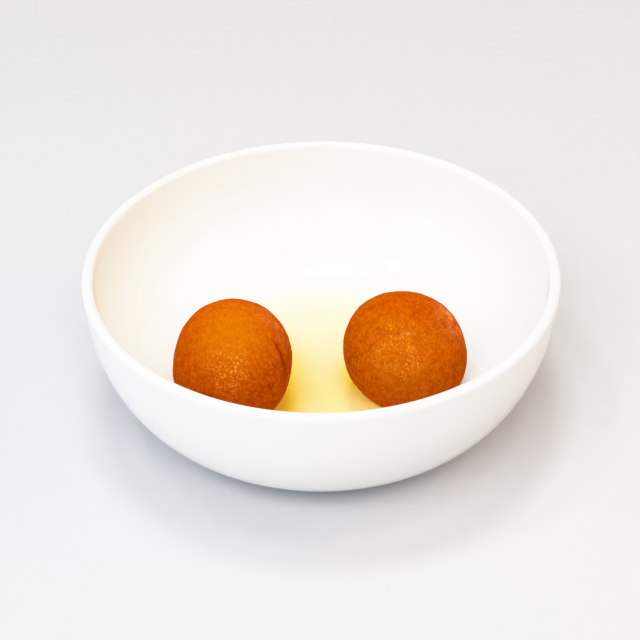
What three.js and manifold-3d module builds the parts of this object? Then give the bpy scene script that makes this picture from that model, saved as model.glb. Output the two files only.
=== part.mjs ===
// Two gulab jamun in a shallow pool of sugar syrup, in a white porcelain coupe bowl.
// Millimetres, +Z up. The origin is on the bowl's axis, on the plane that its foot ring stands on.
// +X is the bowl's right-hand side and -Y its front, as it is set before a guest.

import * as THREE from 'three';
import { mergeVertices } from 'three/addons/utils/BufferGeometryUtils.js';
import Module from 'manifold-3d';

const wasm = await Module();
wasm.setup();

// Bowl: outside
const RIM_RADIUS = 78;
const BOWL_HEIGHT = 53;
const LIP_THICKNESS = 3.6;
const OUTER_FLAT_RADIUS = 43;
const OUTER_FULLNESS = 2.3;

// Bowl: inside, which dishes gently and then sweeps up into the wall
const FLOOR_HEIGHT = 6;
const INNER_FLAT_RADIUS = 12;
const INNER_FULLNESS = 2.7;

// Bowl: foot ring, ground flat where it stands
const FOOT_HEIGHT = 3;
const FOOT_OUTER_RADIUS = 41.5;
const FOOT_INNER_RADIUS = 37.9;
const FOOT_CHAMFER = 0.7;
const RECESS_RADIUS = 36.4;
const RECESS_HEIGHT = 2.2;

// Syrup
const SYRUP_LEVEL = 9;
const SYRUP_EDGE_THICKNESS = 0.4;

// Gulab jamun: centre, half sizes across, front to back and upright, and lean towards +X
const LEFT_BALL = { centre: [-29.1, -20.9, 27.0], half: [19.6, 20.3, 20.9], lean: 0.28, seed: 338 };
const RIGHT_BALL = { centre: [27.8, -14.8, 26.1], half: [20.9, 20.5, 20.0], lean: 1.13, seed: 31 };

// Unevenness of a hand-rolled, fried ball: few long waves, and many short ones for its skin
const LONG_WAVES = { count: 7, height: 0.3, slowest: 2.0, fastest: 4.2 };
const SHORT_WAVES = { count: 16, height: 0.02, slowest: 12, fastest: 19 };

// How softly a ball settles on the bowl's floor
const SETTLE_SOFTNESS = 0.5;

// Clearance kept between pieces that touch
const GAP = 0.3;

// Vertices nearer than this are one vertex
const WELD_DISTANCE = 1e-4;

// A linear congruential generator's multiplier and step, taken modulo 2^32
const DRAW_MULTIPLIER = 1664525;
const DRAW_STEP = 1013904223;
const DRAW_RANGE = 2 ** 32;

// Facets
const BOWL_FACETS = 64;
const BOWL_WALL_STEPS = 16;
const LIP_STEPS = 6;
const SYRUP_FACETS = 48;
const SYRUP_FLOOR_STEPS = 8;
const BALL_DETAIL = 10;

const LIP_RADIUS = LIP_THICKNESS / 2;
const INNER_RIM_RADIUS = RIM_RADIUS - LIP_THICKNESS;
const OUTER_DEPTH = BOWL_HEIGHT - FOOT_HEIGHT;
const INNER_DEPTH = BOWL_HEIGHT - FLOOR_HEIGHT;

// A wall seen in section: a superellipse that stands upright at the rim and lies level at flatRadius.
// It runs from the lip's centre line down to the level end.
function wallSection(rimRadius, flatRadius, depth, fullness) {
  const power = 2 / fullness;
  const start = Math.asin((LIP_RADIUS / depth) ** (1 / power));
  const points = [];
  for (let i = 0; i <= BOWL_WALL_STEPS; i += 1) {
    const turn = THREE.MathUtils.lerp(start, Math.PI / 2, i / BOWL_WALL_STEPS);
    const along = Math.max(Math.cos(turn), 0) ** power;
    const radius = flatRadius + (rimRadius - flatRadius) * along;
    points.push(new THREE.Vector2(radius, BOWL_HEIGHT - depth * Math.sin(turn) ** power));
  }
  return points;
}

// Height of the bowl's inner surface at a distance from the axis.
function floorHeight(distance) {
  const reach = (distance - INNER_FLAT_RADIUS) / (INNER_RIM_RADIUS - INNER_FLAT_RADIUS);
  const share = THREE.MathUtils.clamp(reach, 0, 1);
  return BOWL_HEIGHT - INNER_DEPTH * (1 - share ** INNER_FULLNESS) ** (1 / INNER_FULLNESS);
}

// The half circle of the lip, from the outer wall over to the inner wall.
function lipSection() {
  const points = [];
  for (let i = 1; i < LIP_STEPS; i += 1) {
    const turn = (Math.PI * i) / LIP_STEPS;
    const radius = RIM_RADIUS - LIP_RADIUS + LIP_RADIUS * Math.cos(turn);
    points.push(new THREE.Vector2(radius, BOWL_HEIGHT - LIP_RADIUS + LIP_RADIUS * Math.sin(turn)));
  }
  return points;
}

// The foot ring's section, from the recess under the bowl out to the wall.
function footSection() {
  return [
    new THREE.Vector2(0, RECESS_HEIGHT),
    new THREE.Vector2(RECESS_RADIUS, RECESS_HEIGHT),
    new THREE.Vector2(FOOT_INNER_RADIUS - FOOT_CHAMFER, FOOT_CHAMFER),
    new THREE.Vector2(FOOT_INNER_RADIUS, 0),
    new THREE.Vector2(FOOT_OUTER_RADIUS - FOOT_CHAMFER, 0),
    new THREE.Vector2(FOOT_OUTER_RADIUS, FOOT_CHAMFER),
    new THREE.Vector2(FOOT_OUTER_RADIUS, FOOT_HEIGHT - FOOT_CHAMFER),
  ];
}

// Turns a section about the axis and stands it upright along +Z.
function turned(section, facets) {
  const geometry = new THREE.LatheGeometry(section, facets);
  geometry.rotateX(Math.PI / 2);
  return welded(geometry);
}

// Keeps positions only and merges vertices that coincide.
function welded(geometry) {
  geometry.deleteAttribute('normal');
  geometry.deleteAttribute('uv');
  return mergeVertices(geometry, WELD_DISTANCE);
}

function bowlGeometry() {
  const outer = wallSection(RIM_RADIUS, OUTER_FLAT_RADIUS, OUTER_DEPTH, OUTER_FULLNESS).reverse();
  const inner = wallSection(INNER_RIM_RADIUS, INNER_FLAT_RADIUS, INNER_DEPTH, INNER_FULLNESS);
  const axis = new THREE.Vector2(0, FLOOR_HEIGHT);
  return turned([...footSection(), ...outer, ...lipSection(), ...inner, axis], BOWL_FACETS);
}

// A repeatable stream of numbers from 0 to 1.
function seededDraws(seed) {
  let state = seed;
  return () => {
    state = (Math.imul(state, DRAW_MULTIPLIER) + DRAW_STEP) >>> 0;
    return state / DRAW_RANGE;
  };
}

// Waves that cross a ball in drawn directions. Each is a cosine of the direction from its centre.
function drawnWaves(draw, { count, height, slowest, fastest }) {
  const waves = [];
  for (let i = 0; i < count; i += 1) {
    const upright = 2 * draw() - 1;
    const around = 2 * Math.PI * draw();
    const rate = THREE.MathUtils.lerp(slowest, fastest, draw());
    const across = Math.sqrt(1 - upright * upright) * rate;
    const way = new THREE.Vector3(across * Math.cos(around), across * Math.sin(around), upright * rate);
    waves.push({ way, phase: 2 * Math.PI * draw(), height });
  }
  return waves;
}

// A ball grown by some clearance: an ellipsoid leaning towards +X, uneven by its waves, whose
// underside settles on the floor of the bowl with a rest clearance below it.
function ballGeometry({ centre, half, lean, seed }, grown, rest) {
  const draw = seededDraws(seed);
  const waves = [...drawnWaves(draw, LONG_WAVES), ...drawnWaves(draw, SHORT_WAVES)];
  const middle = new THREE.Vector3(...centre);
  const size = new THREE.Vector3(...half);
  const frontToBack = new THREE.Vector3(0, 1, 0);
  const geometry = welded(new THREE.IcosahedronGeometry(1, BALL_DETAIL));
  const position = geometry.getAttribute('position');
  const way = new THREE.Vector3();
  const point = new THREE.Vector3();
  for (let i = 0; i < position.count; i += 1) {
    way.fromBufferAttribute(position, i).normalize();
    const swell = waves.reduce((sum, w) => sum + w.height * Math.cos(w.way.dot(way) + w.phase), 0);
    point.copy(way).multiply(size).addScaledVector(way, swell + grown);
    point.applyAxisAngle(frontToBack, lean).add(middle);
    const floor = floorHeight(Math.hypot(point.x, point.y)) + rest;
    const over = (point.z - floor) / SETTLE_SOFTNESS;
    point.z = floor + SETTLE_SOFTNESS * (Math.max(over, 0) + Math.log1p(Math.exp(-Math.abs(over))));
    position.setXYZ(i, point.x, point.y, point.z);
  }
  return geometry;
}

function toSolid(geometry) {
  const vertProperties = new Float32Array(geometry.getAttribute('position').array);
  const triVerts = new Uint32Array(geometry.getIndex().array);
  return new wasm.Manifold(new wasm.Mesh({ numProp: 3, vertProperties, triVerts }));
}

function fromSolid(solid) {
  const mesh = solid.getMesh();
  const geometry = new THREE.BufferGeometry();
  geometry.setAttribute('position', new THREE.BufferAttribute(new Float32Array(mesh.vertProperties), 3));
  geometry.setIndex(new THREE.BufferAttribute(new Uint32Array(mesh.triVerts), 1));
  return geometry;
}

// Distance from the axis at which the floor has climbed to a height.
function floorReach(height) {
  const share = (1 - ((BOWL_HEIGHT - height) / INNER_DEPTH) ** INNER_FULLNESS) ** (1 / INNER_FULLNESS);
  return INNER_FLAT_RADIUS + (INNER_RIM_RADIUS - INNER_FLAT_RADIUS) * share;
}

// The pool: level on top, lying on the dished floor, with a hollow round each ball.
function syrupGeometry() {
  const edge = floorReach(SYRUP_LEVEL - SYRUP_EDGE_THICKNESS - GAP);
  const section = [new THREE.Vector2(0, FLOOR_HEIGHT + GAP)];
  for (let i = 0; i <= SYRUP_FLOOR_STEPS; i += 1) {
    const distance = THREE.MathUtils.lerp(INNER_FLAT_RADIUS, edge, i / SYRUP_FLOOR_STEPS);
    section.push(new THREE.Vector2(distance, floorHeight(distance) + GAP));
  }
  section.push(new THREE.Vector2(edge, SYRUP_LEVEL), new THREE.Vector2(0, SYRUP_LEVEL));
  let pool = toSolid(turned(section, SYRUP_FACETS));
  for (const ball of [LEFT_BALL, RIGHT_BALL]) {
    pool = pool.subtract(toSolid(ballGeometry(ball, GAP, 0)));
  }
  return fromSolid(pool);
}

const glazedPorcelain = { color: 0xf5f3ee, roughness: 0.12, metalness: 0 };
const sugarSyrup = { color: 0xf6dc94, roughness: 0.05, metalness: 0 };
const friedDough = { color: 0xcc640a, roughness: 0.35, metalness: 0 };

function piece(name, geometry, finish) {
  const mesh = new THREE.Mesh(geometry, new THREE.MeshStandardMaterial(finish));
  mesh.name = name;
  return mesh;
}

const dessert = new THREE.Group();
dessert.add(
  piece('bowl', bowlGeometry(), glazedPorcelain),
  piece('syrup', syrupGeometry(), sugarSyrup),
  piece('gulab_jamun_left', ballGeometry(LEFT_BALL, 0, GAP), friedDough),
  piece('gulab_jamun_right', ballGeometry(RIGHT_BALL, 0, GAP), friedDough),
);

export default dessert;
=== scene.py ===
# %% [markdown]
# # Two gulab jamun in a bowl of syrup
#
# Gulab jamun are balls of milk dough, fried slowly until the skin is a deep orange brown and then
# soaked in sugar syrup. Here two of them rest in a white porcelain bowl, in a shallow pool of that
# syrup. The lesson builds four pieces: the bowl, the two balls and the pool. Each takes the place
# of a plainer solid of the same form, and then gets a finish that behaves like the real stuff.
#
# Lengths are given in millimetres, because a bowl is measured in them, and are multiplied by MM
# where a mesh, a node or the camera takes metres. Only the floor and the lamps are given in metres.
# +X is the bowl's right-hand side and -Y its front.

import math

import bpy
import numpy as np
from mathutils import Matrix, Vector


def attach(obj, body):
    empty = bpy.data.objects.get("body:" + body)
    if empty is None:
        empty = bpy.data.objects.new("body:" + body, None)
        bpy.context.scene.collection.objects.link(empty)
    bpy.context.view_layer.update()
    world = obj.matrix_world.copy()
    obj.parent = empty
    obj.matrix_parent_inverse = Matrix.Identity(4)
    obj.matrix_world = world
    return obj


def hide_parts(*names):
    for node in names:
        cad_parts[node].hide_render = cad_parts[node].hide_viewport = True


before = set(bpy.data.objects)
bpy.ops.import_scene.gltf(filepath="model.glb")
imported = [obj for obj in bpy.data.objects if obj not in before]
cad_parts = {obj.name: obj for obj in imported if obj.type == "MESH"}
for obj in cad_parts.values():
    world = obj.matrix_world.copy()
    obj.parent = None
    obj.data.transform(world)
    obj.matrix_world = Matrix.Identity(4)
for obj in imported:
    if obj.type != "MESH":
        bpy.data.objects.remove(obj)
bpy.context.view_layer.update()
MM = 0.001
print("solids:", sorted(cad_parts))

# %% [markdown]
# ## The mesh helper
#
# Every shape below is worked out as an array of points and an array of faces. This helper is the
# one way by which they become an object of the scene. Smooth shading is right for all four pieces,
# because nothing on a glazed bowl, a ball of dough or a liquid has a hard edge.

# %% Points and faces become an object


def add_piece(name, points, faces, solid, slot):
    """Makes a smooth-shaded object of points in millimetres, which stands for one of the solids."""
    mesh = bpy.data.meshes.new(name)
    mesh.from_pydata((points * MM).tolist(), [], faces)
    mesh.shade_smooth()
    piece = bpy.data.objects.new(name, mesh)
    bpy.context.scene.collection.objects.link(piece)
    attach(piece, "root")
    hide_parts(solid)
    triangles = sum(len(face) - 2 for face in faces)
    print(f"{name}: {len(points)} points, {triangles} triangles")
    return piece


# %% [markdown]
# ## The bowl
#
# A coupe bowl is jiggered: a profile tool shapes the clay while it turns, so every level section is
# a circle, and one profile tells the whole form. It could be modelled from a cylinder with loop
# cuts, but a turned profile is both quicker and truer.
#
# Inside and outside are each a quarter of a superellipse. That curve stands upright at the rim,
# lies level at the foot, and its fullness says how squarely it turns between the two.

# %% Sizes of the bowl
RIM_RADIUS = 78.0
BOWL_HEIGHT = 53.0
LIP_RADIUS = 1.8
FOOT_HEIGHT = 3.0
FLOOR_HEIGHT = 6.0
OUTER_FLAT_RADIUS = 43.0
OUTER_FULLNESS = 2.3
OUTER_DEPTH = BOWL_HEIGHT - FOOT_HEIGHT
INNER_RIM_RADIUS = RIM_RADIUS - 2 * LIP_RADIUS
INNER_FLAT_RADIUS = 12.0
INNER_FULLNESS = 2.7
INNER_DEPTH = BOWL_HEIGHT - FLOOR_HEIGHT
FOOT_INNER_RADIUS = 37.9
FOOT_OUTER_RADIUS = 41.5
FOOT_EDGE = 0.7
RECESS_HEIGHT = 2.2
WALL_STEPS = 72
LIP_STEPS = 14
RECESS_STEPS = 12
EDGE_STEPS = 6
FLOOR_STEPS = 8
BOWL_FACETS = 256
print("bowl:", 2 * RIM_RADIUS, "mm across and", BOWL_HEIGHT, "mm high")

# %% The profile of the bowl


def wall_profile(rim_radius, flat_radius, depth, fullness):
    """From lip to foot, with p = 2 / fullness and a turn t from the lip to a right angle:
    radius = flat + (rim - flat) cos(t)^p, height = top - depth sin(t)^p."""
    power = 2 / fullness
    start = math.asin((LIP_RADIUS / depth) ** (1 / power))
    turn = np.linspace(start, math.pi / 2, WALL_STEPS)
    across = np.clip(np.cos(turn), 0, 1) ** power
    radius = flat_radius + (rim_radius - flat_radius) * across
    return np.stack([radius, BOWL_HEIGHT - depth * np.sin(turn) ** power], 1)


def arc_profile(middle, radius, start, end, steps):
    """Points on an arc from one angle in degrees to another: middle + radius (cos t, sin t)."""
    turn = np.radians(np.linspace(start, end, steps))
    return np.array(middle) + radius * np.stack([np.cos(turn), np.sin(turn)], 1)


def level_profile(start, end, height, steps):
    """Points at one height, from one radius to another."""
    return np.stack([np.linspace(start, end, steps), np.full(steps, height)], 1)


def foot_profile():
    """From the axis under the bowl, along the recess, round the foot ring and up to the wall."""
    edge, steps = FOOT_EDGE, EDGE_STEPS
    inner, outer = FOOT_INNER_RADIUS - edge, FOOT_OUTER_RADIUS - edge
    level = level_profile(0, inner - edge, RECESS_HEIGHT, RECESS_STEPS)
    hollow = arc_profile((inner - edge, RECESS_HEIGHT - edge), edge, 90, 0, steps)[1:]
    inside = arc_profile((inner + edge, edge), edge, 180, 270, steps)
    outside = arc_profile((outer, edge), edge, -90, 0, steps)
    joint = arc_profile((outer + 2 * edge, FOOT_HEIGHT - edge), edge, 180, 90, steps)
    return np.concatenate([level, hollow, inside, outside, joint])


outer_wall = wall_profile(RIM_RADIUS, OUTER_FLAT_RADIUS, OUTER_DEPTH, OUTER_FULLNESS)[::-1]
inner_wall = wall_profile(INNER_RIM_RADIUS, INNER_FLAT_RADIUS, INNER_DEPTH, INNER_FULLNESS)
lip_middle = (RIM_RADIUS - LIP_RADIUS, BOWL_HEIGHT - LIP_RADIUS)
lip = arc_profile(lip_middle, LIP_RADIUS, 0, 180, LIP_STEPS)[1:-1]
floor_line = level_profile(INNER_FLAT_RADIUS, 0, FLOOR_HEIGHT, FLOOR_STEPS)[1:]
bowl_profile = np.concatenate([foot_profile(), outer_wall, lip, inner_wall, floor_line])
print("bowl profile:", len(bowl_profile), "points")

# %% [markdown]
# The profile is now turned about the axis, as on the potter's wheel. A Screw modifier could do
# that too. Worked out here, each end of the profile becomes one point on the axis, so that the
# middle of the floor and of the recess are closed without folded faces.

# %% Turn the profile


def turned(profile, facets):
    """Point (i, j) = (r_i cos t_j, r_i sin t_j, z_i). The two ends lie on the axis, one point each."""
    turn = np.arange(facets) * 2 * math.pi / facets
    radius, height = profile[1:-1, 0, None], profile[1:-1, 1, None]
    rings = np.stack([radius * np.cos(turn), radius * np.sin(turn), height + 0 * turn], -1)
    first, last = [0, 0, profile[0, 1]], [0, 0, profile[-1, 1]]
    points = np.concatenate([rings.reshape(-1, 3), [first, last]])
    index = np.arange(len(rings) * facets).reshape(len(rings), facets)
    beside = np.roll(index, -1, axis=1)
    quads = np.stack([index[:-1], beside[:-1], beside[1:], index[1:]], -1).reshape(-1, 4)
    low, high = len(points) - 2, len(points) - 1
    below = np.stack([np.full(facets, low), beside[0], index[0]], 1)
    above = np.stack([index[-1], beside[-1], np.full(facets, high)], 1)
    return points, quads.tolist() + below.tolist() + above.tolist()


bowl = add_piece("porcelain_bowl", *turned(bowl_profile, BOWL_FACETS), "bowl", "glazed_porcelain")

# %% [markdown]
# ## The two balls
#
# Dough rolled between the palms is nearly a ball, but never quite: it is a little taller or wider,
# leans, and has broad shallow dents. So each ball starts as an ellipsoid with a few long waves in
# it, and settles on the floor of the bowl where it rests.
#
# The points start as directions on a cube's six faces pushed out to a sphere. Unlike a globe's
# meridians they crowd together nowhere, so the skin has the same grain all over.

# %% Directions over a sphere
BALL_CELLS = 120
WELD_DIGITS = 6


def sphere_grid(cells):
    """Directions n + tan(a) s + tan(b) t made one long, over the six faces of a cube, and quads."""
    side = np.tan(np.linspace(-math.pi / 4, math.pi / 4, cells + 1))
    a, b = np.meshgrid(side, side, indexing="ij")
    grids, quads = [], []
    index = np.arange((cells + 1) ** 2).reshape(cells + 1, cells + 1)
    square = np.stack([index[:-1, :-1], index[1:, :-1], index[1:, 1:], index[:-1, 1:]], -1)
    for n, s, t in ((0, 1, 2), (1, 2, 0), (2, 0, 1)):
        for sign in (1, -1):
            grid = np.empty((cells + 1, cells + 1, 3))
            grid[..., n], grid[..., s], grid[..., t] = sign, sign * a, b
            quads.append(square.reshape(-1, 4) + len(grids) * index.size)
            grids.append(grid.reshape(-1, 3))
    ways = np.concatenate(grids)
    ways /= np.linalg.norm(ways, axis=1, keepdims=True)
    rounded = np.round(ways, WELD_DIGITS)
    _, first, welded = np.unique(rounded, axis=0, return_index=True, return_inverse=True)
    return ways[first], welded.reshape(-1)[np.concatenate(quads)]


ball_ways, ball_quads = sphere_grid(BALL_CELLS)
print("directions:", len(ball_ways))

# %% [markdown]
# The long waves are drawn with the same small generator, seeds and order as the solids have, so
# that every dent of the finished ball lies where the solid's does. It is a linear congruential
# generator: each state is the last one times a multiplier plus a step, modulo two to the 32nd.

# %% The form of a ball
# Centre and half sizes (across, front to back, upright) are in millimetres, and the lean towards
# +X in radians. The four patches of skin are each an azimuth, an elevation and a reach in degrees:
# the wrinkles, the pale side, the film of syrup and the glints. The pale side faces where the lamps
# light the ball most, so it is partly real browning and partly painted light. The film carries a
# painted sheen and the glints a painted highlight. The two shares say how strongly the pale patch
# and the film show.
LEFT_BALL = {
    "centre": (-29.1, -20.9, 27.0), "half": (19.6, 20.3, 20.9), "lean": 0.28, "seed": 338,
    "wrinkled": (-30.0, 20.0, 34.0), "pale_and_lit": (-86.0, 64.0, 45.0), "film_and_sheen": (4.0, 44.0, 16.0),
    "glint": (-90.0, 34.0, 23.0), "pale_and_lit_share": 0.95, "film_and_sheen_share": 0.5}
RIGHT_BALL = {
    "centre": (27.8, -14.8, 26.1), "half": (20.9, 20.5, 20.0), "lean": 1.13, "seed": 31,
    "wrinkled": (206.0, 12.0, 30.0), "pale_and_lit": (-103.0, 30.0, 60.0), "film_and_sheen": (2.0, 42.0, 18.0),
    "glint": (-100.0, 37.0, 29.0), "pale_and_lit_share": 0.69, "film_and_sheen_share": 0.8}
LONG_WAVES = {"count": 7, "height": 0.3, "slowest": 2.0, "fastest": 4.2}
SHORT_WAVES = {"count": 16, "height": 0.02, "slowest": 12.0, "fastest": 19.0}
DRAW_MULTIPLIER = 1664525
DRAW_STEP = 1013904223
DRAW_RANGE = 2**32
SETTLE_SOFTNESS = 0.5
REST = 0.3


def drawn_waves(seed):
    """A row for each wave: its three rates, its phase and its height, in the solids' order."""
    state, rows = seed, []

    def draw():
        nonlocal state
        state = (state * DRAW_MULTIPLIER + DRAW_STEP) % DRAW_RANGE
        return state / DRAW_RANGE

    for waves in (LONG_WAVES, SHORT_WAVES):
        for _ in range(waves["count"]):
            upright, around = 2 * draw() - 1, 2 * math.pi * draw()
            rate = waves["slowest"] + (waves["fastest"] - waves["slowest"]) * draw()
            across = math.sqrt(1 - upright**2) * rate
            way = (across * math.cos(around), across * math.sin(around), upright * rate)
            rows.append((*way, 2 * math.pi * draw(), waves["height"]))
    return np.array(rows)


def floor_height(distance):
    """Height of the bowl's inner surface: the superellipse of its wall, read across."""
    share = (distance - INNER_FLAT_RADIUS) / (INNER_RIM_RADIUS - INNER_FLAT_RADIUS)
    share = np.clip(share, 0, 1) ** INNER_FULLNESS
    return BOWL_HEIGHT - INNER_DEPTH * (1 - share) ** (1 / INNER_FULLNESS)


def leant(ball, ways):
    """Directions turned about the front-to-back line by the ball's lean."""
    return ways @ np.array(Matrix.Rotation(ball["lean"], 3, "Y")).T


def ball_points(ball, ways, relief):
    """Ellipsoid plus (waves + relief) along each direction, leant towards +X. The floor f stops it
    softly, with s for the softness: height = f + s ln(1 + exp((height - f) / s))."""
    waves = drawn_waves(ball["seed"])
    swell = (np.cos(ways @ waves[:, :3].T + waves[:, 3]) * waves[:, 4]).sum(1) + relief
    local = ways * np.array(ball["half"]) + ways * swell[:, None]
    points = leant(ball, local) + np.array(ball["centre"])
    floor = floor_height(np.hypot(points[:, 0], points[:, 1])) + REST
    over = (points[:, 2] - floor) / SETTLE_SOFTNESS
    points[:, 2] = floor + SETTLE_SOFTNESS * np.logaddexp(0, over)
    return points


print("waves on a ball:", len(drawn_waves(LEFT_BALL["seed"])))

# %% [markdown]
# Close up, the skin is grainy: milk solids swell into grains about a millimetre across, over
# pebbling a few times as wide. Where a ball shrank most, on the sides that face each other, the
# skin has drawn up into fine upright wrinkles. Displacing the mesh with an image could show all
# that, but the pattern would stretch. Grain and pebbling are smooth random fields instead, made of
# many waves. The wrinkles are a field too, but one whose waves all run nearly level, so that its
# crests stand upright.

# %% The skin of a ball
SKIN_RADIUS = 20.5
GRAIN_SIZE = (0.9, 1.6)
GRAIN_HEIGHT = 0.018
GRAIN_WAVES = 160
PEBBLE_SIZE = (2.2, 4.5)
PEBBLE_HEIGHT = 0.022
PEBBLE_WAVES = 90
WRINKLE_SPACING = (2.2, 5.0)
WRINKLE_DEPTH = 0.14
WRINKLE_WAVES = 60
WRINKLE_STRAY = 0.24
# Grooves lie where the wrinkles' field is about nought and crests where it is about CREST_LEVEL
GROOVE_WIDTH = 0.45
CREST_LEVEL = 1.3
CREST_WIDTH = 0.5
CREST_HEIGHT = 0.5


def direction(azimuth, elevation):
    """The unit direction at an azimuth a and an elevation e: (cos a cos e, sin a cos e, sin e)."""
    a, e = math.radians(azimuth), math.radians(elevation)
    return np.array([math.cos(a) * math.cos(e), math.sin(a) * math.cos(e), math.sin(e)])


def random_field(ways, seed, size, count, along=None):
    """The sum of cos(rate . direction + phase) over count waves, scaled to a spread of one. The
    wavelengths lie in a range of sizes. With along, all rates stray but little from that line."""
    rng = np.random.default_rng(seed)
    rates = rng.normal(size=(count, 3))
    if along is not None:
        rates = np.array(along) * rng.choice([-1, 1], (count, 1)) + WRINKLE_STRAY * rates
    rates /= np.linalg.norm(rates, axis=1, keepdims=True)
    rates *= 2 * math.pi * SKIN_RADIUS / rng.uniform(*size, (count, 1))
    phases = rng.uniform(0, 2 * math.pi, count)
    return np.cos(ways @ rates.T + phases).sum(1) * math.sqrt(2 / count)


def near(ways, azimuth, elevation, reach):
    """A smooth mask about a direction: exp(-(angle / reach)^2), angles in degrees."""
    angle = np.degrees(np.arccos(np.clip(ways @ direction(azimuth, elevation), -1, 1)))
    return np.exp(-((angle / reach) ** 2))


def wrinkle_relief(ways, seed, azimuth, elevation, reach):
    """Upright folds about a direction, each a Gaussian of the field: depth (crests - grooves). Also
    the share of groove at each point."""
    level = (-math.sin(math.radians(azimuth)), math.cos(math.radians(azimuth)), 0.0)
    field = random_field(ways, seed, WRINKLE_SPACING, WRINKLE_WAVES, level)
    mask = near(ways, azimuth, elevation, reach)
    grooves = mask * np.exp(-((field / GROOVE_WIDTH) ** 2))
    crests = mask * np.exp(-(((field - CREST_LEVEL) / CREST_WIDTH) ** 2))
    return WRINKLE_DEPTH * (CREST_HEIGHT * crests - grooves), grooves


print("grain:", GRAIN_SIZE, "pebbles:", PEBBLE_SIZE, "wrinkles:", WRINKLE_SPACING, "mm")

# %% [markdown]
# The left ball also has one real fold, where its skin sank in as it cooled. It runs down the side
# that faces the other ball. A sculpted stroke could make it, but a groove along a great circle has
# sizes that can be named, and wanders a little so that it doesn't look cut.

# %% The fold on the left ball
FOLD_TOP = (-25.0, 46.0)
FOLD_FOOT = (-25.0, -2.0)
FOLD_DEPTH = 0.55
FOLD_WIDTH = 0.8
FOLD_SEED = 71
FOLD_WANDER = 0.6
FOLD_BENDS = (9.0, 16.0)
FOLD_WAVES = 20
FOLD_FADE = 1.6
FOLD_FADE_POWER = 0.7


def fold_relief(ways):
    """A groove along the great arc between two directions: depth exp(-(distance / width)^2), which
    fades as (fade - fade reach)^power, with a reach of one at the arc's ends."""
    top, foot = direction(*FOLD_TOP), direction(*FOLD_FOOT)
    across = np.cross(top, foot)
    across /= np.linalg.norm(across)
    wander = FOLD_WANDER * random_field(ways, FOLD_SEED, FOLD_BENDS, FOLD_WAVES)
    distance = SKIN_RADIUS * (ways @ across) + wander
    middle = (top + foot) / np.linalg.norm(top + foot)
    reach = np.arccos(np.clip(ways @ middle, -1, 1)) / np.arccos(top @ middle)
    fade = np.clip(FOLD_FADE - FOLD_FADE * reach, 0, 1) ** FOLD_FADE_POWER
    return -FOLD_DEPTH * fade * np.exp(-((distance / FOLD_WIDTH) ** 2))


print("deepest point of the fold:", round(float(fold_relief(ball_ways).min()), 2), "mm")

# %% [markdown]
# The finish has to know where a ball is creased, which is darkened as painted shade, where it is
# pale, which is partly real browning and partly painted light, where syrup stands as a film with a
# painted sheen, and where it glints with a painted highlight. It could be painted on a texture, but
# a mesh can carry such numbers itself, one for each point, and a material reads them by name. Each
# but the creases is a soft patch about a direction.

# %% Both balls
# How dark the grooves and the fold are painted: painted shade in the creases
GROOVE_SHADE = 0.6
FOLD_SHADE = 1.4


def keep_attribute(piece, name, values):
    """Stores one number for each point, cut to the range from nought to one, for the finish."""
    attribute = piece.data.attributes.new(name, "FLOAT", "POINT")
    attribute.data.foreach_set("value", np.clip(values, 0, 1).astype(np.float32))


def add_ball(name, ball, solid, folded):
    """Makes a ball and keeps its painted crease shade, pale lit side, film with sheen, and glints."""
    seed = ball["seed"]
    facing = leant(ball, ball_ways)
    skin = GRAIN_HEIGHT * random_field(facing, seed, GRAIN_SIZE, GRAIN_WAVES)
    skin = skin + PEBBLE_HEIGHT * random_field(facing, seed + 1, PEBBLE_SIZE, PEBBLE_WAVES)
    wrinkles, grooves = wrinkle_relief(facing, seed + 2, *ball["wrinkled"])
    fold = fold_relief(facing) if folded else np.zeros(len(facing))
    points = ball_points(ball, ball_ways, skin + wrinkles + fold)
    piece = add_piece(name, points, ball_quads.tolist(), solid, "fried_milk_dough")
    # Kept for the finish: painted shade in the creases, the pale side (partly browning, partly painted
    # light), the film with its painted sheen, and the glints with their painted highlight
    keep_attribute(piece, "crease_shade", GROOVE_SHADE * grooves - FOLD_SHADE * fold / FOLD_DEPTH)
    keep_attribute(piece, "pale_and_lit", ball["pale_and_lit_share"] * near(facing, *ball["pale_and_lit"]))
    keep_attribute(piece, "film_and_sheen", ball["film_and_sheen_share"] * near(facing, *ball["film_and_sheen"]))
    keep_attribute(piece, "glint", near(facing, *ball["glint"]))
    return piece


left_ball = add_ball("dough_ball_left", LEFT_BALL, "gulab_jamun_left", folded=True)
right_ball = add_ball("dough_ball_right", RIGHT_BALL, "gulab_jamun_right", folded=False)

# %% [markdown]
# ## The syrup
#
# A pool in a bowl has no shape of its own: the floor gives its underside, and gravity its top. Only
# where it meets the wet dough does it climb, in a smooth collar under each ball's belly. It could
# be cut from a block by Boolean modifiers, but they would leave the collar out. The collar's curve
# is the textbook one for a liquid that wets a wall, and its one size is the capillary length,
# which surface tension and density set.
#
# The pool reaches a quarter of a millimetre into the glaze and a little way into each ball. With
# an air gap there, the camera would see a bright skin under the liquid that no real pool has.

# %% The climbing collar
SYRUP_LEVEL = 9.0
CAPILLARY_LENGTH = 2.4
COLLAR_HEIGHT = 2.6
COLLAR_END = 0.002
COLLAR_STEPS = 400
INTO_GLAZE = 0.25
INTO_DOUGH = 0.8
THINNEST = 0.125


def collar_lift(distance):
    """Height h at a distance x from the wetted line, with c for the capillary length:
    x = c (arcosh(2c / h) - sqrt(4 - (h / c)^2)), less the same at the collar's top."""
    height = np.geomspace(COLLAR_HEIGHT, COLLAR_END, COLLAR_STEPS)
    c = CAPILLARY_LENGTH
    x = c * (np.arccosh(2 * c / height) - np.sqrt(4 - (height / c) ** 2))
    return np.interp(distance, x - x[0], height, right=0.0)


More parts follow.
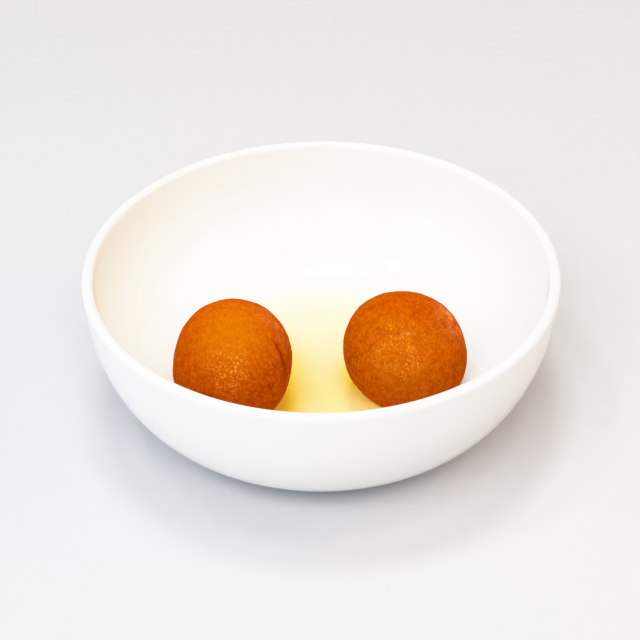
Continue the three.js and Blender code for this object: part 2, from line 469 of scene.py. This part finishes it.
def underside(ball, x, y):
    """Height of a leaning ball's lower half, with u and v for the shares of its reach across and
    front to back: centre + shear u - upright sqrt(1 - u^2 - v^2). Also the distance from its axis."""
    half = np.array(ball["half"])
    lean = ball["lean"]
    across = math.hypot(half[0] * math.cos(lean), half[2] * math.sin(lean))
    upright = math.hypot(half[2] * math.cos(lean), half[0] * math.sin(lean))
    shear = (half[2] ** 2 - half[0] ** 2) * math.sin(lean) * math.cos(lean) / upright**2
    aside, ahead = x - ball["centre"][0], y - ball["centre"][1]
    u, v = aside / across, ahead / half[1]
    rise = np.sqrt(np.clip(1 - u**2 - v**2, 0, 1))
    height = ball["centre"][2] + shear * across * u - upright * rise
    return np.where(u**2 + v**2 < 1, height, np.inf), np.hypot(aside, ahead)


def pool_top(x, y):
    """The level plus each ball's collar, but no higher than just inside a ball that hangs over it."""
    height = np.full(x.shape, SYRUP_LEVEL)
    for ball in (LEFT_BALL, RIGHT_BALL):
        _, distance = underside(ball, x, y)
        drop = ball["centre"][2] - SYRUP_LEVEL - COLLAR_HEIGHT
        wet_radius = ball["half"][0] * math.sqrt(1 - (drop / ball["half"][2]) ** 2)
        height = np.maximum(height, SYRUP_LEVEL + collar_lift(distance - wet_radius))
    for ball in (LEFT_BALL, RIGHT_BALL):
        height = np.minimum(height, underside(ball, x, y)[0] + INTO_DOUGH)
    return np.maximum(height, floor_height(np.hypot(x, y)) + THINNEST)


print("collar a millimetre out:", round(float(collar_lift(1.0)), 2), "mm high")

# %% [markdown]
# The pool is a turned profile, as the bowl is: out along the floor and back along the level. Its
# top is then lifted to where the collars stand. A narrow band at its edge stays level, so that the
# pool ends in a clean line on the glaze.

# %% The pool as a closed piece
POOL_REACH = 44.6
POOL_EDGE_BAND = 0.8
POOL_RINGS = 104
POOL_FACETS = 400

out = np.linspace(0, POOL_REACH, POOL_RINGS)
under = np.stack([out, floor_height(out) - INTO_GLAZE], 1)
over = level_profile(0, POOL_REACH, SYRUP_LEVEL, POOL_RINGS)[::-1]
pool_points, pool_faces = turned(np.concatenate([under, over]), POOL_FACETS)
# The points run ring by ring, first on the lower side, and the two on the axis come last
lower_side = np.zeros((POOL_RINGS - 1) * POOL_FACETS, bool)
on_top = np.concatenate([lower_side, ~lower_side, [False, True]])
lifted = pool_top(pool_points[on_top, 0], pool_points[on_top, 1])
past_edge = np.hypot(*pool_points[on_top, :2].T) > POOL_REACH - POOL_EDGE_BAND
pool_points[on_top, 2] = np.where(past_edge, SYRUP_LEVEL, lifted)
pool = add_piece("sugar_syrup_pool", pool_points, pool_faces, "syrup", "sugar_syrup")

# %% [markdown]
# The syrup's body colour isn't even. Round the balls' feet, where it is held between them and the
# wall, and a little all over the front half, it is a strong saffron yellow: painted amber shade
# under the balls' bellies and painted orange light bounced from the balls. It is also deeper in
# tone where the pool is deeper. Two attributes keep that, one for the painted amber shade and one
# for the depth.

# %% Where the syrup gets painted amber shade, and where it is deep
# Each row is the middle of a patch of painted amber shade, the distance from it at which that
# starts, and the distance within which it is full
AMBER_SHADE_ROUND = (
    ((-41.0, -8.6), 42.5, 29.3),
    ((25.3, -6.6), 24.5, 15.3),
    ((-29.1, -20.9), 25.0, 17.5),
    ((27.8, -14.8), 17.5, 13.0))
# Along the bowl from back to front, painted amber shade too: where it starts, where it is full,
# and its share there
FRONT_START, FRONT_FULL, FRONT_SHARE = 8.0, -12.0, 0.36

# Painted amber shade and orange bounce light, over the front half and round the balls' feet
in_front = np.clip((FRONT_START - pool_points[:, 1]) / (FRONT_START - FRONT_FULL), 0, 1)
unshaded = 1 - FRONT_SHARE * in_front
for middle, start, full in AMBER_SHADE_ROUND:
    aside = np.hypot(*(pool_points[:, :2] - middle).T)
    unshaded = unshaded * (1 - np.clip((start - aside) / (start - full), 0, 1) ** 2)
deep = SYRUP_LEVEL - floor_height(np.hypot(*pool_points[:, :2].T))
keep_attribute(pool, "amber_shade", 1 - unshaded)
keep_attribute(pool, "deep", deep / (SYRUP_LEVEL - FLOOR_HEIGHT))
print("steeped on average:", round(float(1 - unshaded.mean()), 2))

# %% [markdown]
# ## Finishes
#
# Colours are written as the hex values that a colour picker shows, and one function turns them
# into the linear values that light is reckoned in. One more small function adds a node with its
# settings and its links. With these two, a finish reads as a list of what it is made of. A third
# starts a material with nothing in it.

# %% Colour and node helpers
# A Mix node has sockets for each kind of value. These are its factor and the ones for colours.
SHARE, FIRST, SECOND, MIXED = 0, 6, 7, 2


def linear(hex_colour):
    """sRGB hex to linear RGBA: below 0.04045 v / 12.92, else ((v + 0.055) / 1.055)^2.4."""
    values = [int(hex_colour[i : i + 2], 16) / 255 for i in (1, 3, 5)]
    return (*[v / 12.92 if v <= 0.04045 else ((v + 0.055) / 1.055) ** 2.4 for v in values], 1.0)


def add_node(tree, kind, settings, inputs):
    """Adds a node. Settings are its properties. An input is a value, or the output that feeds it,
    or a node whose first output feeds it."""
    node = tree.nodes.new(kind)
    for name, value in settings.items():
        setattr(node, name, value)
    for name, value in inputs.items():
        if isinstance(value, bpy.types.Node):
            value = value.outputs[0]
        if isinstance(value, bpy.types.NodeSocket):
            tree.links.new(value, node.inputs[name])
        else:
            node.inputs[name].default_value = value
    return node


def new_material(name):
    """A material and its empty node tree."""
    material = bpy.data.materials.new(name)
    material.use_nodes = True
    material.node_tree.nodes.clear()
    return material, material.node_tree


print("middle grey in linear light:", round(linear("#808080")[0], 3))

# %% [markdown]
# ### Glazed porcelain
#
# Hard porcelain is fired white under a clear glaze. To the eye that is a faintly warm white with
# sharp, calm reflections, a glaze that lies a little unevenly, so that a window's edge wavers in
# it, and a bare, matt foot ring where the bowl stood in the kiln. Glaze has an IOR of about 1.5.
#
# Two materials could part foot and bowl, but one that reads the height above the table can't leave
# a seam. The white drifts a little over some centimetres, as a fired body's does, and the bare foot
# shows its grit.

# %% White glaze and bare foot
WHITE_DRIFT = 40.0
BISCUIT_GRIT = 0.8
BARE_BELOW = 0.175
GLAZED_ABOVE = 0.35

porcelain, tree = new_material("glazed_porcelain")
place = add_node(tree, "ShaderNodeTexCoord", {}, {}).outputs["Object"]
drift = add_node(tree, "ShaderNodeTexNoise", {}, {
    "Vector": place, "Scale": 1 / (WHITE_DRIFT * MM), "Detail": 2.0})
whites = add_node(tree, "ShaderNodeMix", {"data_type": "RGBA"}, {
    SHARE: drift, FIRST: linear("#EBE9E3"), SECOND: linear("#E7E5DF")})
grit = add_node(tree, "ShaderNodeTexNoise", {}, {
    "Vector": place, "Scale": 1 / (BISCUIT_GRIT * MM), "Detail": 3.0})
biscuit = add_node(tree, "ShaderNodeMix", {"data_type": "RGBA"}, {
    SHARE: grit, FIRST: linear("#D9D3C6"), SECOND: linear("#ECE8DF")})
height = add_node(tree, "ShaderNodeSeparateXYZ", {}, {"Vector": place}).outputs["Z"]
bare = add_node(tree, "ShaderNodeMapRange", {}, {
    "Value": height, "From Min": GLAZED_ABOVE * MM, "From Max": BARE_BELOW * MM})
colour = add_node(tree, "ShaderNodeMix", {"data_type": "RGBA"}, {
    SHARE: bare, FIRST: whites.outputs[MIXED], SECOND: biscuit.outputs[MIXED]})
print("foot: bare below", BARE_BELOW, "mm, glazed above", GLAZED_ABOVE, "mm")

# %% Gloss of the glaze
GLAZE_ROUGHNESS = 0.06
BISCUIT_ROUGHNESS = 0.75
GLAZE_WAVE = 11.0
GLAZE_WAVE_HEIGHT = 0.25

polish = add_node(tree, "ShaderNodeMapRange", {}, {
    "Value": bare, "To Min": GLAZE_ROUGHNESS, "To Max": BISCUIT_ROUGHNESS})
waves = add_node(tree, "ShaderNodeTexNoise", {}, {
    "Vector": place, "Scale": 1 / (GLAZE_WAVE * MM), "Detail": 1.0})
ripple = add_node(tree, "ShaderNodeBump", {}, {
    "Height": waves, "Strength": 0.25, "Distance": GLAZE_WAVE_HEIGHT * MM})
glaze = add_node(tree, "ShaderNodeBsdfPrincipled", {}, {
    "Base Color": colour.outputs[MIXED], "Roughness": polish, "IOR": 1.5, "Normal": ripple})
add_node(tree, "ShaderNodeOutputMaterial", {}, {"Surface": glaze})
bowl.data.materials.append(porcelain)
print("porcelain:", len(tree.nodes), "nodes")

# %% [markdown]
# ### Fried milk dough, soaked in syrup
#
# The skin of a gulab jamun is a fried crumb. To the eye it is a warm orange brown, grainy and
# nearly matt, with tiny wet sparks. It has pebbles about a millimetre wide with finer grains on
# them, and broader spots where the dough was a little drier. It could be painted by hand, but
# patterns in their real sizes give the same grain all round and no seam.
#
# A Voronoi pattern's distance is nought in the middle of each pebble and grows towards the cracks
# between them. With some of the finer grain added, it tells how far down from the tops a point lies.

# %% The crumb
# The finest grains are really about half as wide, and are drawn as coarse as they need to show
CRUMB = 0.7
PEBBLE = 1.1
MOTTLE = 2.6

dough, tree = new_material("fried_milk_dough")
place = add_node(tree, "ShaderNodeTexCoord", {}, {}).outputs["Object"]
crumb = add_node(tree, "ShaderNodeTexNoise", {}, {
    "Vector": place, "Scale": 1 / (CRUMB * MM), "Detail": 2.0})
pebbles = add_node(tree, "ShaderNodeTexVoronoi", {}, {"Vector": place, "Scale": 1 / (PEBBLE * MM)})
mottle = add_node(tree, "ShaderNodeTexNoise", {}, {
    "Vector": place, "Scale": 1 / (MOTTLE * MM), "Detail": 3.0})
roughened = add_node(tree, "ShaderNodeMapRange", {}, {
    "Value": crumb, "From Min": 0.3, "From Max": 0.7, "To Min": -0.12, "To Max": 0.12})
from_top = add_node(tree, "ShaderNodeMath", {"operation": "ADD"}, {0: pebbles, 1: roughened})
print("crumb:", CRUMB, "pebbles:", PEBBLE, "mottle:", MOTTLE, "mm")

# %% [markdown]
# Slow frying browns the milk sugars, from a golden orange to a deep red brown. Each ball is kept
# golden on the side that the lamps light most, and browner towards its shaded sides: partly real
# browning and partly painted light and shade. One number tells how browned a point is, and a colour
# ramp gives it its colour. It is a sum: the cracks of the crumb, darkened as painted shade, and the
# drier spots are browner, half as much on the pale side, then comes the distance from the pale
# side, and then the creases, darkened as painted shade too.

# %% Browning
PALE_CONTRAST = 0.5
SHADED_SIDE_BROWNING = 0.9
CREASE_SHADE_SHARE = 0.7
RAMP_SHARE = 0.6
BROWNS = ((0.0, "#B96402"), (0.3, "#AF5302"), (0.6, "#A04100"), (1.0, "#842F00"))

pale_and_lit = add_node(tree, "ShaderNodeAttribute", {"attribute_name": "pale_and_lit"}, {}).outputs["Fac"]
crease_shade = add_node(tree, "ShaderNodeAttribute", {"attribute_name": "crease_shade"}, {}).outputs["Fac"]
# Darker in the cracks between the pebbles: painted shade
crack_shade = add_node(tree, "ShaderNodeMapRange", {}, {
    "Value": from_top, "From Min": 0.15, "From Max": 0.7, "To Min": -0.26, "To Max": 0.36})
spots = add_node(tree, "ShaderNodeMapRange", {}, {
    "Value": mottle, "From Min": 0.3, "From Max": 0.7, "To Min": -0.3, "To Max": 0.3})
contrast = add_node(tree, "ShaderNodeMapRange", {}, {
    "Value": pale_and_lit, "To Min": 1.0, "To Max": PALE_CONTRAST})
# Browner away from the pale side that faces the lamps: partly browning, partly painted shade
browner_shaded_side = add_node(tree, "ShaderNodeMapRange", {}, {
    "Value": pale_and_lit, "From Min": 1.0, "From Max": 0.1, "To Max": SHADED_SIDE_BROWNING})
# Darker in the creases: painted shade
crease_shading = add_node(tree, "ShaderNodeMath", {"operation": "MULTIPLY"}, {0: crease_shade, 1: CREASE_SHADE_SHARE})
grained = add_node(tree, "ShaderNodeMath", {"operation": "ADD"}, {0: crack_shade, 1: spots})
browned = add_node(tree, "ShaderNodeMath", {"operation": "MULTIPLY"}, {0: grained, 1: contrast})
for more in (browner_shaded_side, crease_shading):
    browned = add_node(tree, "ShaderNodeMath", {"operation": "ADD"}, {0: browned, 1: more})
on_ramp = add_node(tree, "ShaderNodeMath", {"operation": "MULTIPLY"}, {0: browned, 1: RAMP_SHARE})
browning = add_node(tree, "ShaderNodeValToRGB", {}, {"Fac": on_ramp})
stops = browning.color_ramp.elements
stops[0].color, stops[1].color = linear(BROWNS[0][1]), linear(BROWNS[-1][1])
for stop, brown in BROWNS[1:-1]:
    stops.new(stop).color = linear(brown)
print("browns:", [brown for _, brown in BROWNS])

# %% [markdown]
# Syrup doesn't lie on the crumb as an even gloss. High on the front of each ball, where the lamps
# are mirrored, it stands in tiny dots, in clusters a few millimetres wide. On the side towards the
# warm lamp it is a thin film, torn into winding veins and patches, where the bright wall is
# mirrored. Both are shares from nought to one: noise with its middle values cut away, times the
# patch that the mesh keeps. A vein is where the mottle passes its middle value. Both are a real
# thin coat, and both also lighten the skin's colour: the dots as a painted highlight, the film as
# a painted sheen.

# %% Glints and film
# A glint is really a few hundredths of a millimetre wide, and is drawn as coarse as it needs to show
GLINT = 0.7
GLINT_CLUSTER = 3.5
FILM_PATCH = 4.2
NOISE_MIDDLE = 0.5

dots = add_node(tree, "ShaderNodeTexNoise", {}, {
    "Vector": place, "Scale": 1 / (GLINT * MM), "Detail": 3.0})
clusters = add_node(tree, "ShaderNodeTexNoise", {}, {
    "Vector": place, "Scale": 1 / (GLINT_CLUSTER * MM), "Detail": 2.0})
kept_glint = add_node(tree, "ShaderNodeAttribute", {"attribute_name": "glint"}, {}).outputs["Fac"]
glints = add_node(tree, "ShaderNodeMapRange", {}, {"Value": dots, "From Min": 0.52, "From Max": 0.66})
for value, low, high in ((clusters, 0.36, 0.58), (kept_glint, 0.1, 0.8)):
    held = add_node(tree, "ShaderNodeMapRange", {}, {"Value": value, "From Min": low, "From Max": high})
    glints = add_node(tree, "ShaderNodeMath", {"operation": "MULTIPLY"}, {0: glints, 1: held})

from_middle = add_node(tree, "ShaderNodeMath", {"operation": "SUBTRACT"}, {0: mottle, 1: NOISE_MIDDLE})
winding = add_node(tree, "ShaderNodeMath", {"operation": "ABSOLUTE"}, {0: from_middle})
lines = add_node(tree, "ShaderNodeMapRange", {}, {"Value": winding, "From Min": 0.05, "From Max": 0.02})
tops = add_node(tree, "ShaderNodeMapRange", {}, {"Value": crumb, "From Min": 0.5, "From Max": 0.58})
veins = add_node(tree, "ShaderNodeMath", {"operation": "MAXIMUM"}, {0: lines, 1: tops})
torn = add_node(tree, "ShaderNodeTexNoise", {}, {
    "Vector": place, "Scale": 1 / (FILM_PATCH * MM), "Detail": 2.0})
patches = add_node(tree, "ShaderNodeMapRange", {}, {
    "Value": torn, "From Min": 0.4, "From Max": 0.56, "To Min": 0.15})
film_and_sheen = add_node(tree, "ShaderNodeAttribute", {"attribute_name": "film_and_sheen"}, {}).outputs["Fac"]
for held in (veins, patches):
    film_and_sheen = add_node(tree, "ShaderNodeMath", {"operation": "MULTIPLY"}, {0: film_and_sheen, 1: held})
print("glints:", GLINT, "mm in clusters of", GLINT_CLUSTER, "mm")

# %% [markdown]
# A fried crust is rough down to its finest crumbs, which face every way. Light that grazes such a
# surface comes back nearly as strongly as light that strikes it squarely, so the edges of a ball
# don't darken as those of a smooth one do. Diffuse roughness says that to the shader, and a slight
# orange sheen adds the crumbs that stand up at the edge. The dough under the crust is translucent
# once it is soaked, so light goes in a millimetre or so and comes out redder. The crust has no
# gloss of its own: only the syrup has, as a thin coat where the dots and the film are.

# %% The soaked skin
PAINTED_LIGHT_SHARE = 0.8
COATED = 0.12
CRUMB_RELIEF = 0.5
RELIEF_DEPTH = 0.2
BLEED_DEPTH = 0.8
BLEED_BY_COLOUR = (1.0, 0.35, 0.1)

# The lighter orange of the glints is a painted highlight, over the real coat
painted_glint_share = add_node(tree, "ShaderNodeMath", {"operation": "MULTIPLY"}, {0: glints, 1: PAINTED_LIGHT_SHARE})
painted_glint_colour = add_node(tree, "ShaderNodeMix", {"data_type": "RGBA"}, {
    SHARE: painted_glint_share, FIRST: browning, SECOND: linear("#E39636")})
# The pinker colour of the film is a painted sheen, the bright wall's reflection, over the real coat
painted_sheen_share = add_node(tree, "ShaderNodeMath", {"operation": "MULTIPLY"}, {0: film_and_sheen, 1: PAINTED_LIGHT_SHARE})
skin_with_painted_light = add_node(tree, "ShaderNodeMix", {"data_type": "RGBA"}, {
    SHARE: painted_sheen_share, FIRST: painted_glint_colour.outputs[MIXED], SECOND: linear("#D48A52")})
moist = add_node(tree, "ShaderNodeMath", {"operation": "MAXIMUM"}, {0: glints, 1: film_and_sheen})
coated = add_node(tree, "ShaderNodeMath", {"operation": "MULTIPLY"}, {0: moist, 1: COATED})
grains = add_node(tree, "ShaderNodeMath", {"operation": "MULTIPLY"}, {0: crumb, 1: CRUMB_RELIEF})
relief = add_node(tree, "ShaderNodeMath", {"operation": "SUBTRACT"}, {0: grains, 1: from_top})
grainy = add_node(tree, "ShaderNodeBump", {}, {
    "Height": relief, "Strength": 0.7, "Distance": RELIEF_DEPTH * MM})
skin = add_node(tree, "ShaderNodeBsdfPrincipled", {}, {
    "Base Color": skin_with_painted_light.outputs[MIXED], "Diffuse Roughness": 0.6, "Roughness": 0.6,
    "IOR": 1.45, "Specular IOR Level": 0.0, "Normal": grainy,
    "Sheen Weight": 0.13, "Sheen Roughness": 0.5, "Sheen Tint": linear("#E07C28"),
    "Subsurface Weight": 0.2, "Subsurface Radius": BLEED_BY_COLOUR,
    "Subsurface Scale": BLEED_DEPTH * MM,
    "Coat Weight": coated, "Coat Roughness": 0.25, "Coat IOR": 1.5, "Coat Normal": grainy})
add_node(tree, "ShaderNodeOutputMaterial", {}, {"Surface": skin})
for ball in (left_ball, right_ball):
    ball.data.materials.append(dough)
print("dough:", len(tree.nodes), "nodes")

# %% [markdown]
# ### Sugar syrup
#
# Boiled sugar and water with a little saffron, and with what the balls give off. To the eye it is
# glossy, yellow and a little cloudy, with an IOR of about 1.43. A clear liquid could be glass with
# colour in its volume alone. A cloudy one also sends light back from its body, so this one is only
# partly clear, and the rest is a body colour. That is a pale yellow where the pool is thin, a
# fuller one where it is deep, and a strong saffron yellow round the balls' feet and over the front
# half, which is painted amber shade and orange light bounced from the balls. In the clear part the
# volume absorbs light: each millimetre takes away a little red, more green and most blue.
#
# A lamp's light reaches the floor of the pool only by bending at its surface, which a path tracer
# seldom finds by chance. So a lamp's shadow ray goes straight through, and still loses its colour.

# %% Syrup
TAKEN_PER_METRE = (2.0, 26.0, 110.0)
CLEARNESS = 0.28

syrup, tree = new_material("sugar_syrup")
depth_share = add_node(tree, "ShaderNodeAttribute", {"attribute_name": "deep"}, {}).outputs["Fac"]
deepening = add_node(tree, "ShaderNodeMix", {"data_type": "RGBA"}, {
    SHARE: depth_share, FIRST: linear("#FFEBC5"), SECOND: linear("#FFDEB8")})
# A strong saffron yellow round the balls and in the front half: painted amber shade and bounce light
amber_shade_share = add_node(tree, "ShaderNodeAttribute", {"attribute_name": "amber_shade"}, {}).outputs["Fac"]
amber_shading = add_node(tree, "ShaderNodeMix", {"data_type": "RGBA"}, {
    SHARE: amber_shade_share, FIRST: deepening.outputs[MIXED], SECOND: linear("#FFD619")})
liquid = add_node(tree, "ShaderNodeBsdfPrincipled", {}, {
    "Base Color": amber_shading.outputs[MIXED], "Roughness": 0.0, "IOR": 1.43,
    "Transmission Weight": CLEARNESS})
lamps_pass = add_node(tree, "ShaderNodeBsdfTransparent", {}, {"Color": linear("#FFFFFF")})
ray = add_node(tree, "ShaderNodeLightPath", {}, {})
surface = add_node(tree, "ShaderNodeMixShader", {}, {
    0: ray.outputs["Is Shadow Ray"], 1: liquid, 2: lamps_pass})
most_taken = max(TAKEN_PER_METRE)
absorption = add_node(tree, "ShaderNodeVolumeAbsorption", {}, {
    "Color": (*[1 - taken / most_taken for taken in TAKEN_PER_METRE], 1.0), "Density": most_taken})
add_node(tree, "ShaderNodeOutputMaterial", {}, {"Surface": surface, "Volume": absorption})
pool.data.materials.append(syrup)
print("syrup:", len(tree.nodes), "nodes")

# %% [markdown]
# ## The studio
#
# The bowl stands on a sheet of pale backdrop paper. It is matt, and its fibres show only as a very
# faint unevenness of the grey. It could be a curved sweep, but a wide flat sheet fills the view
# as well.

# %% Floor
FLOOR_SIZE = 3.0
PAPER_FIBRES = 6.0

half = FLOOR_SIZE / 2
corners = [(-half, -half, 0), (half, -half, 0), (half, half, 0), (-half, half, 0)]
floor_mesh = bpy.data.meshes.new("floor")
floor_mesh.from_pydata(corners, [], [(0, 1, 2, 3)])
floor = bpy.data.objects.new("floor", floor_mesh)
bpy.context.scene.collection.objects.link(floor)
paper, tree = new_material("backdrop_paper")
place = add_node(tree, "ShaderNodeTexCoord", {}, {}).outputs["Object"]
fibres = add_node(tree, "ShaderNodeTexNoise", {}, {
    "Vector": place, "Scale": 1 / (PAPER_FIBRES * MM), "Detail": 4.0})
greys = add_node(tree, "ShaderNodeMix", {"data_type": "RGBA"}, {
    SHARE: fibres, FIRST: linear("#BCBDBF"), SECOND: linear("#C2C3C4")})
matt = add_node(tree, "ShaderNodeBsdfPrincipled", {}, {
    "Base Color": greys.outputs[MIXED], "Roughness": 0.9})
add_node(tree, "ShaderNodeOutputMaterial", {}, {"Surface": matt})
floor_mesh.materials.append(paper)
print("floor:", FLOOR_SIZE, "m wide")

# %% [markdown]
# Glossy glaze shows every lamp, so a soft box is placed by where its reflection falls, and each is
# as large and as far away as a real window or ceiling lamp would be. Cool windows stand on the
# left and a warm lamp on the right. Three small ceiling lamps give the calm patches low on the far
# wall. Three broad boxes in front only fill in light: they are hidden from gloss, as a polarising
# filter would hide them. A single bright sky could light the bowl too, but it would leave the
# glaze without shapes to mirror.

# %% Lamps
# Name, place, size, power in watts, colour, and whether gloss shows the lamp
SOFT_BOXES = (
    ("overhead", (0.0, -0.3, 1.4), (0.9, 2.2), 3.0, "#FFFCF6", True),
    ("ceiling", (-0.05, 0.19, 1.3), (0.32, 0.22), 6.5, "#FFFFFF", True),
    ("ceiling_beside", (-0.51, 0.08, 1.3), (0.24, 0.1), 2.2, "#FFFFFF", True),
    ("ceiling_before", (0.26, -0.16, 1.3), (0.12, 0.1), 1.0, "#FFFFFF", True),
    ("front_high", (0.0, -1.05, 1.4), (1.2, 0.5), 16.0, "#FFFFFF", False),
    ("front_left_high", (-0.85, -0.85, 1.4), (0.7, 0.6), 9.0, "#FFFFFF", False),
    ("window_left", (-1.5, -0.4, 0.35), (1.4, 0.6), 9.5, "#DDE9FF", True),
    ("window_left_high", (-1.7, -0.5, 1.1), (2.0, 1.3), 6.0, "#DDE9FF", True),
    ("front", (0.0, -1.9, 1.25), (2.2, 1.3), 11.5, "#CEE0FF", False),
    ("lamp_right", (1.25, 0.0, 1.0), (1.6, 0.9), 12.5, "#FFD0A0", True),
    ("key", (-0.42, -1.5, 0.95), (0.8, 0.55), 3.0, "#FFFFFF", True))
AIMED_AT = (0.0, 0.0, 0.03)
AIR_STRENGTH = 0.2

for name, spot, size, power, tint, in_gloss in SOFT_BOXES:
    lamp = bpy.data.lights.new(name, "AREA")
    lamp.shape = "RECTANGLE"
    lamp.size, lamp.size_y = size
    lamp.energy = power
    lamp.color = linear(tint)[:3]
    box = bpy.data.objects.new(name, lamp)
    box.location = spot
    box.rotation_euler = (Vector(AIMED_AT) - Vector(spot)).to_track_quat("-Z", "Y").to_euler()
    box.visible_glossy = in_gloss
    bpy.context.scene.collection.objects.link(box)
world = bpy.data.worlds.new("studio_air")
world.use_nodes = True
air = world.node_tree.nodes["Background"]
air.inputs["Color"].default_value = linear("#F7FAFF")
air.inputs["Strength"].default_value = AIR_STRENGTH
bpy.context.scene.world = world
print("soft boxes:", len(SOFT_BOXES))

# %% [markdown]
# ## The camera
#
# The bowl is seen from in front, from about 38 degrees above the table, with a long lens, so that
# its rim is a calm ellipse. The small roll is that of a hand-held camera. A constraint could aim
# it, but a place, an elevation and a roll say the same in three plain values.

# %% Camera
FOCAL_LENGTH = 78.75
SENSOR_WIDTH = 36.0
CAMERA_PLACE = (-0.496, -375.48, 317.145)
CAMERA_ELEVATION = 37.57
CAMERA_ROLL = -0.487
NEAREST_SEEN = 10.0

lens = bpy.data.cameras.new("camera")
lens.lens = FOCAL_LENGTH
lens.sensor_width = SENSOR_WIDTH
lens.clip_start = NEAREST_SEEN * MM
camera = bpy.data.objects.new("camera", lens)
bpy.context.scene.collection.objects.link(camera)
pitch = Matrix.Rotation(math.radians(90 - CAMERA_ELEVATION), 4, "X")
roll = Matrix.Rotation(math.radians(CAMERA_ROLL), 4, "Z")
camera.matrix_world = Matrix.Translation(Vector(CAMERA_PLACE) * MM) @ pitch @ roll
bpy.context.scene.camera = camera
print("camera:", round(math.hypot(*CAMERA_PLACE)), "mm from the bowl's foot")

# %% [markdown]
# A white bowl in strong soft light is brighter than a picture can show. Film and sensors don't cut
# such light off at once. They roll off: above some brightness, each further bit adds less. So the
# picture keeps the bowl's form, and colours below that brightness stay as they are. Dimmer lamps
# would keep the form too, but they would leave the white bowl grey.

# %% Colour management
ROLL_OFF_FROM = 0.7
BRIGHTEST = 3.0
STRAIGHT_POINTS = 6
SHOULDER_POINTS = 9
ALL_CHANNELS = 3


def rolled_off(light):
    """Straight up to a, then 1 - (1 - a) exp(-(light - a) / (1 - a)), which nears but never passes one."""
    room = 1 - ROLL_OFF_FROM
    return np.where(light < ROLL_OFF_FROM, light, 1 - room * np.exp(-(light - ROLL_OFF_FROM) / room))


view = bpy.context.scene.view_settings
view.view_transform = "Standard"
view.look = "None"
view.exposure = 0.0
view.use_curve_mapping = True
response = view.curve_mapping
response.white_level = (BRIGHTEST, BRIGHTEST, BRIGHTEST)
curve = response.curves[ALL_CHANNELS]
curve.points[1].location = (1.0, float(rolled_off(BRIGHTEST)))
straight = np.linspace(ROLL_OFF_FROM / 2, ROLL_OFF_FROM, STRAIGHT_POINTS)
shoulder = np.linspace(ROLL_OFF_FROM, BRIGHTEST, SHOULDER_POINTS)[1:-1]
for light in np.concatenate([straight, shoulder]):
    curve.points.new(light / BRIGHTEST, float(rolled_off(light)))
response.update()
print("response at 0.3, 0.75, 1, 1.5:", [
    round(response.evaluate(curve, light / BRIGHTEST), 3) for light in (0.3, 0.75, 1.0, 1.5)])
